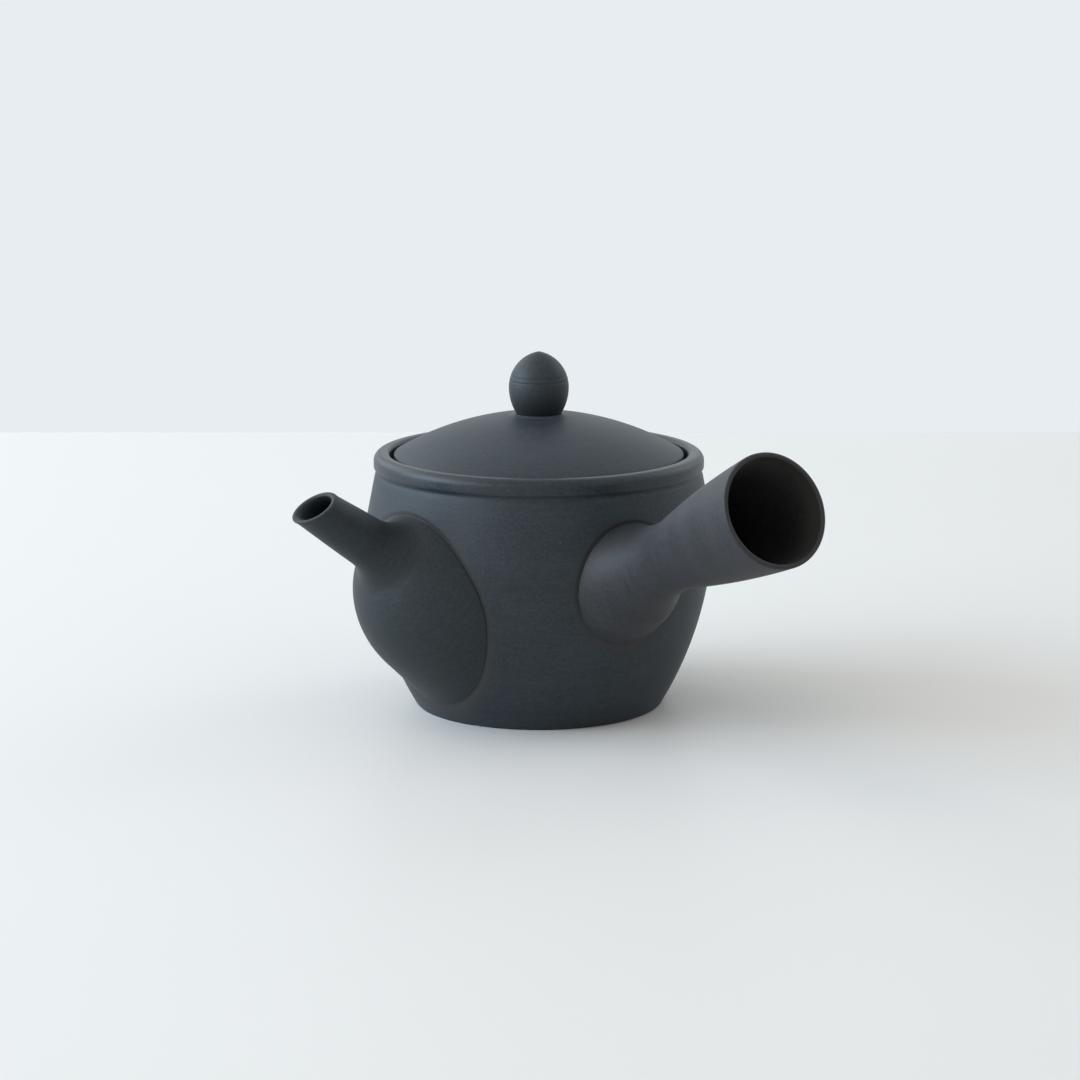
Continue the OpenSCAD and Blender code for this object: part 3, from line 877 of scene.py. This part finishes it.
class TEAPOT_OT_pot(bpy.types.Operator):
    """Turns the pot with its rim and the lid's seat, and cuts the port and the tooled seams"""

    bl_idname = "teapot.pot"
    bl_label = "Pot"

    def execute(self, context):
        scene = context.scene
        pot = scene.teapot_pot
        f = pot_form(pot)
        outside = pot_outside(f, 0, f.groove_start.y)
        points = [Vector((0, 0))] + outside + rim_side(pot, f) + pot_inside(pot, f)
        piece = draw_section("pot", points)
        turn_section(pot.steps)
        edges = ((f.foot_r, 0, 3), (f.throat_r, f.seat_z, 3), (*f.groove_start, 4))
        for r, z, segments in edges:
            bevel_edges(piece, on_ring(r, z), pot.foot_edge, segments)
        spout_limb = spout_form(pot, scene.teapot_spout)
        tool_seam(piece, pot, f, limb_gap(spout_limb, spout_side(spout_limb, 0)))
        handle_limb = handle_form(pot, scene.teapot_handle)
        tool_seam(piece, pot, f, limb_gap(handle_limb, handle_side(handle_limb, 0)))
        bpy.ops.object.mode_set(mode="OBJECT")
        bpy.ops.mesh.primitive_cylinder_add(
            vertices=pot.steps // 2,
            radius=pot.port_d / 2,
            depth=pot.belly_d / 2,
            location=(pot.belly_d / 2, 0, pot.belly_z - pot.port_sink),
            rotation=(0, math.pi / 2, 0),
        )
        cut(piece, context.object)
        colours = scene.teapot_colours
        material = clay_material(colours, "body", "Body clay")
        # Rubbed tone round the limbs, lighter than the clay: painted light in the tooled hollows
        rub_and_light_seams(material, colours.rubbed)
        burnish_rim(material, f.neck_z, f.neck_z + pot.rim_h / 3)
        finish_piece(piece, material, "pot", "pot_body")
        return {"FINISHED"}


class TEAPOT_OT_spout(bpy.types.Operator):
    """Turns the bell spout, cuts its mouth on a slant and fits it to the pot"""

    bl_idname = "teapot.spout"
    bl_label = "Spout"

    def execute(self, context):
        scene = context.scene
        pot = scene.teapot_pot
        spout = scene.teapot_spout
        limb = spout_form(pot, spout)
        outer = spout_side(limb, 0)
        inner = spout_side(limb, spout.wall)
        piece = draw_section("bell_spout", outer + inner[::-1] + [outer[0]])
        turn_section(spout.steps)
        middle = Vector((0, 0, limb.mouth.y))
        facing = Vector((-math.sin(spout.slant), 0, math.cos(spout.slant)))
        bpy.ops.mesh.bisect(plane_co=middle - spout.lip_band * facing, plane_no=facing)
        bpy.ops.mesh.select_all(action="SELECT")
        bpy.ops.mesh.bisect(plane_co=middle, plane_no=facing, clear_outer=True, use_fill=False)
        bpy.ops.mesh.bridge_edge_loops()
        mesh = bmesh.from_edit_mesh(piece.data)
        for v in mesh.verts:
            r = math.hypot(v.co.x, v.co.y)
            if abs((v.co - middle).dot(facing)) < IN_PLANE:
                outer_edge = r > spout.mouth_d / 2 - spout.wall / 2
                v.co.xy *= 1 + (spout.lip_flare if outer_edge else spout.bore_flare) / r
                v.co.z = middle.z - v.co.x * facing.x / facing.z
        bmesh.update_edit_mesh(piece.data)

        def on_lip(edge):
            if any(abs((v.co - middle).dot(facing)) > IN_PLANE for v in edge.verts):
                return False
            faces = [f for f in edge.link_faces if abs(f.normal.dot(facing)) > FACES_MOUTH]
            return len(faces) == 1

        bevel_edges(piece, on_lip, spout.lip, segments=4)
        bpy.ops.object.mode_set(mode="OBJECT")
        fit_to_pot(piece, limb, pot)
        # Painted shade: the spout's tones are a darker copy of the body's clay
        tones = (scene.teapot_colours, "spout", "Spout clay")
        material = clay_material(*tones, limb.place, limb.turn, SPOUT_LINES)
        finish_piece(piece, material, "pot", "spout")
        return {"FINISHED"}


class TEAPOT_OT_handle(bpy.types.Operator):
    """Turns the hollow trumpet handle with its rounded lip and fits it to the pot"""

    bl_idname = "teapot.handle"
    bl_label = "Handle"

    def execute(self, context):
        scene = context.scene
        pot = scene.teapot_pot
        handle = scene.teapot_handle
        colours = scene.teapot_colours
        limb = handle_form(pot, handle)
        outer = handle_side(limb, 0)
        inner = handle_bore(limb, handle.wall)
        lip = arc(limb.lip_c, limb.lip_r, limb.lip_angle, limb.lip_angle + math.pi)
        piece = turned("trumpet_handle", outer + lip + inner[-2::-1] + [outer[0]], handle.steps)
        fit_to_pot(piece, limb, pot)
        tones = (colours, "handle", "Handle clay")
        material = clay_material(*tones, limb.place, limb.turn, HANDLE_LINES)
        # Painted light falling into the bore, and painted shade on the lip
        mark_bore_light_lip_shade(piece, limb, handle.lip)
        paint_bore_light_lip_shade(material, colours.bore, colours.lip)
        finish_piece(piece, material, "pot", "handle")
        return {"FINISHED"}


class TEAPOT_OT_strainer(bpy.types.Operator):
    """Dresses the pierced strainer inside the pot"""

    bl_idname = "teapot.strainer"
    bl_label = "Strainer"

    def execute(self, context):
        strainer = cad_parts["strainer"]
        strainer.data.materials.clear()
        material = clay_material(context.scene.teapot_colours, "body", "Strainer clay")
        strainer.data.materials.append(material)
        return {"FINISHED"}


class TEAPOT_OT_lid(bpy.types.Operator):
    """Turns the domed lid with its flange and drills the steam hole"""

    bl_idname = "teapot.lid"
    bl_label = "Lid"

    def execute(self, context):
        scene = context.scene
        lid = scene.teapot_lid
        colours = scene.teapot_colours
        g = lid_form(scene.teapot_pot, lid)
        top = angle_to(g.dome_c, g.edge_c)
        points = [Vector((g.flange_in, g.flange_z)), Vector((g.flange_out, g.flange_z))]
        points += [Vector((g.flange_out, g.seat_z)), Vector((g.r, g.seat_z))]
        points += [Vector((g.r, g.edge_c.y))]
        points += arc(g.edge_c, lid.edge_round, 0, top)
        points += arc(g.dome_c, lid.dome_r, top, dome_angle(lid, lid.dome_r, 0))
        points += dome_side(lid, g, lid.dome_r - lid.thickness, g.flange_in)
        piece = draw_section("domed_lid", points + [points[0]])
        turn_section(lid.steps)
        for r in (g.flange_out, g.flange_in):
            bevel_edges(piece, on_ring(r, g.flange_z), lid.flange_edge, segments=3)
        bpy.ops.object.mode_set(mode="OBJECT")
        bpy.ops.mesh.primitive_cylinder_add(
            vertices=lid.steps // 4,
            radius=lid.steam_d / 2,
            depth=lid.dome_r / 2,
            location=(*polar(lid.steam_at, lid.steam_angle), g.edge_c.y),
        )
        cut(piece, context.object)
        material = clay_material(colours, "lid", "Lid clay")
        # A lighter, bluer tone on the lid round the knob's base
        lighter_band_z = [arc_top(g.dome_c, lid.dome_r, lid.knob_base_d / 2 * r) for r in LIGHTER_BAND_REACH]
        tint(material, by_height(material.node_tree, *lighter_band_z, 0.0, LIGHTER_BAND_SHARE), colours.slip)
        finish_piece(piece, material, "lid", "lid")
        return {"FINISHED"}


class TEAPOT_OT_knob(bpy.types.Operator):
    """Turns the pointed knob with its fine rings"""

    bl_idname = "teapot.knob"
    bl_label = "Knob"

    def execute(self, context):
        scene = context.scene
        lid = scene.teapot_lid
        g = lid_form(scene.teapot_pot, lid)
        seat_r = lid.dome_r + SLIP_FILM
        base = Vector((lid.knob_base_d / 2, arc_top(g.dome_c, seat_r, lid.knob_base_d / 2)))
        widest = Vector((lid.knob_d / 2, base.y + lid.knob_h - lid.knob_tip))
        inwards = widest - base
        foot_r = inwards.length_squared / (2 * inwards.x)
        foot_c = widest - Vector((foot_r, 0))
        top_r = (widest.x**2 + lid.knob_tip**2) / (2 * widest.x)
        top_c = widest - Vector((top_r, 0))
        points = dome_side(lid, g, seat_r, base.x)
        points += arc(foot_c, foot_r, angle_to(foot_c, base), 0)
        points += arc(top_c, top_r, 0, math.asin(lid.knob_tip / top_r), FINE_SAG)
        for i in range(2):
            ring_z = widest.y + lid.ring_rise + i * lid.ring_pitch
            for p in points:
                away = abs(p.y - ring_z) / (lid.ring_width / 2)
                if p.x > lid.knob_d / 4 and away < 1:
                    p.x -= lid.ring_depth * (1 + math.cos(math.pi * away)) / 2
        piece = turned("pointed_knob", points, lid.knob_steps)
        colours = scene.teapot_colours
        material = clay_material(colours, "body", "Knob clay", lines=KNOB_LINES)
        ring_z = widest.y + lid.ring_rise
        # Painted shade over the knob's lower part, fading out at its lower ring
        knob_shade = by_height(material.node_tree, base.y, ring_z, KNOB_SHADE_SHARE, 0.0)
        tint(material, knob_shade, colours.knob_shade)
        finish_piece(piece, material, "lid", "knob")
        return {"FINISHED"}


class TEAPOT_OT_stage(bpy.types.Operator):
    """Lays the pale table, sets the soft light and stands the camera at the viewing angle"""

    bl_idname = "teapot.stage"
    bl_label = "Stage"

    def execute(self, context):
        scene = context.scene
        stage = scene.teapot_stage
        turn = stage.camera_turn
        towards = Vector((math.cos(turn), math.sin(turn), 0))
        right = Vector((-math.sin(turn), math.cos(turn), 0))

        def spot(x, y, z):
            return right * x - towards * y + Vector((0, 0, z))

        bpy.ops.object.select_all(action="DESELECT")
        bpy.ops.mesh.primitive_plane_add(
            size=1, location=(0, 0, 0), rotation=(0, 0, turn + math.pi / 2)
        )
        table = context.object
        table.name = "table"
        table.scale = (TABLE_WIDTH, TABLE_FRONT + stage.table_back, 1)
        table.location = spot(0, (stage.table_back - TABLE_FRONT) / 2, 0)
        bpy.ops.object.transform_apply(location=True, rotation=True, scale=True)
        table.data.materials.append(self.table_material(stage))

        for name, place, power, light in LAMPS:
            bpy.ops.object.light_add(type="AREA", location=spot(*place))
            lamp = context.object
            lamp.name = name
            lamp.data.shape = "DISK"
            lamp.data.size = LAMP_SIZE
            lamp.data.energy = power
            lamp.data.color = light
            aim = spot(*LAMP_AIM) - spot(*place)
            lamp.rotation_euler = aim.to_track_quat("-Z", "Y").to_euler()
        self.room(scene, stage)

        bpy.ops.object.camera_add(
            location=towards * stage.camera_distance + Vector((0, 0, stage.camera_height)),
            rotation=(math.pi / 2 - stage.camera_pitch, 0, turn + math.pi / 2 - stage.camera_aside),
        )
        camera = context.object
        camera.data.lens = stage.lens
        camera.data.sensor_width = 36
        camera.data.clip_start = 0.01
        scene.camera = camera
        scene.view_settings.view_transform = "Standard"
        return {"FINISHED"}

    def table_material(self, stage):
        """A pale matt table top with a faint cloudiness."""
        made, tree, shader = new_material("Pale table", TABLE_GLOSS)
        cloud = noise_node(tree, object_place(tree), 6.0, 2.0)
        shade = [c * TABLE_SHADE for c in stage.table_colour]
        tone = mix_colours(tree, cloud, (*stage.table_colour, 1), (*shade, 1))
        tree.links.new(tone, shader["Base Color"])
        tree.links.new(range_node(tree, cloud, (0, 1), TABLE_ROUGHNESS), shader["Roughness"])
        return made

    def room(self, scene, stage):
        """A pale room that lights the pot softly and is seen behind the table."""
        world = bpy.data.worlds.new("Pale room")
        scene.world = world
        world.use_nodes = True
        tree = world.node_tree
        seen = tree.nodes["Background"]
        seen.inputs["Color"].default_value = (*stage.wall_colour, 1)
        seen.inputs["Strength"].default_value = 1.0
        glow = {"Color": (*stage.light_colour, 1), "Strength": ROOM_LIGHT}
        lit = add_node(tree, "ShaderNodeBackground", glow).outputs[0]
        path = add_node(tree, "ShaderNodeLightPath").outputs
        shown = math_node(tree, "MAXIMUM", path["Is Camera Ray"], path["Is Glossy Ray"])
        shown = math_node(tree, "MAXIMUM", shown, path["Is Transmission Ray"])
        both = add_node(tree, "ShaderNodeMixShader", {0: shown, 1: lit, 2: seen.outputs[0]})
        tree.links.new(both.outputs[0], tree.nodes["World Output"].inputs["Surface"])


class TEAPOT_PT_panel(bpy.types.Panel):
    """Lists the teapot's pieces"""

    bl_label = "Teapot"
    bl_idname = "TEAPOT_PT_panel"
    bl_space_type = "VIEW_3D"
    bl_region_type = "UI"
    bl_category = "Teapot"

    def draw(self, context):
        for operator in OPERATORS:
            self.layout.operator(operator.bl_idname)
        for key in SETTINGS:
            box = self.layout.box()
            group = getattr(context.scene, key)
            for name in group.bl_rna.properties.keys():
                if name not in ("rna_type", "name"):
                    box.prop(group, name)


OPERATORS = (
    TEAPOT_OT_stage,
    TEAPOT_OT_pot,
    TEAPOT_OT_spout,
    TEAPOT_OT_handle,
    TEAPOT_OT_strainer,
    TEAPOT_OT_lid,
    TEAPOT_OT_knob,
)
SETTINGS = {
    "teapot_pot": PotSizes,
    "teapot_spout": SpoutSizes,
    "teapot_handle": HandleSizes,
    "teapot_lid": LidSizes,
    "teapot_colours": ClayColours,
    "teapot_stage": StageSettings,
}


def register():
    for cls in (*SETTINGS.values(), *OPERATORS, TEAPOT_PT_panel):
        bpy.utils.register_class(cls)
    for key, cls in SETTINGS.items():
        setattr(bpy.types.Scene, key, PointerProperty(type=cls))


def unregister():
    for key in SETTINGS:
        delattr(bpy.types.Scene, key)
    for cls in reversed((*SETTINGS.values(), *OPERATORS, TEAPOT_PT_panel)):
        bpy.utils.unregister_class(cls)


def main():
    register()
    bpy.ops.teapot.stage()
    bpy.ops.teapot.pot()
    bpy.ops.teapot.spout()
    bpy.ops.teapot.handle()
    bpy.ops.teapot.strainer()
    bpy.ops.teapot.lid()
    bpy.ops.teapot.knob()


if __name__ == "__main__":
    main()
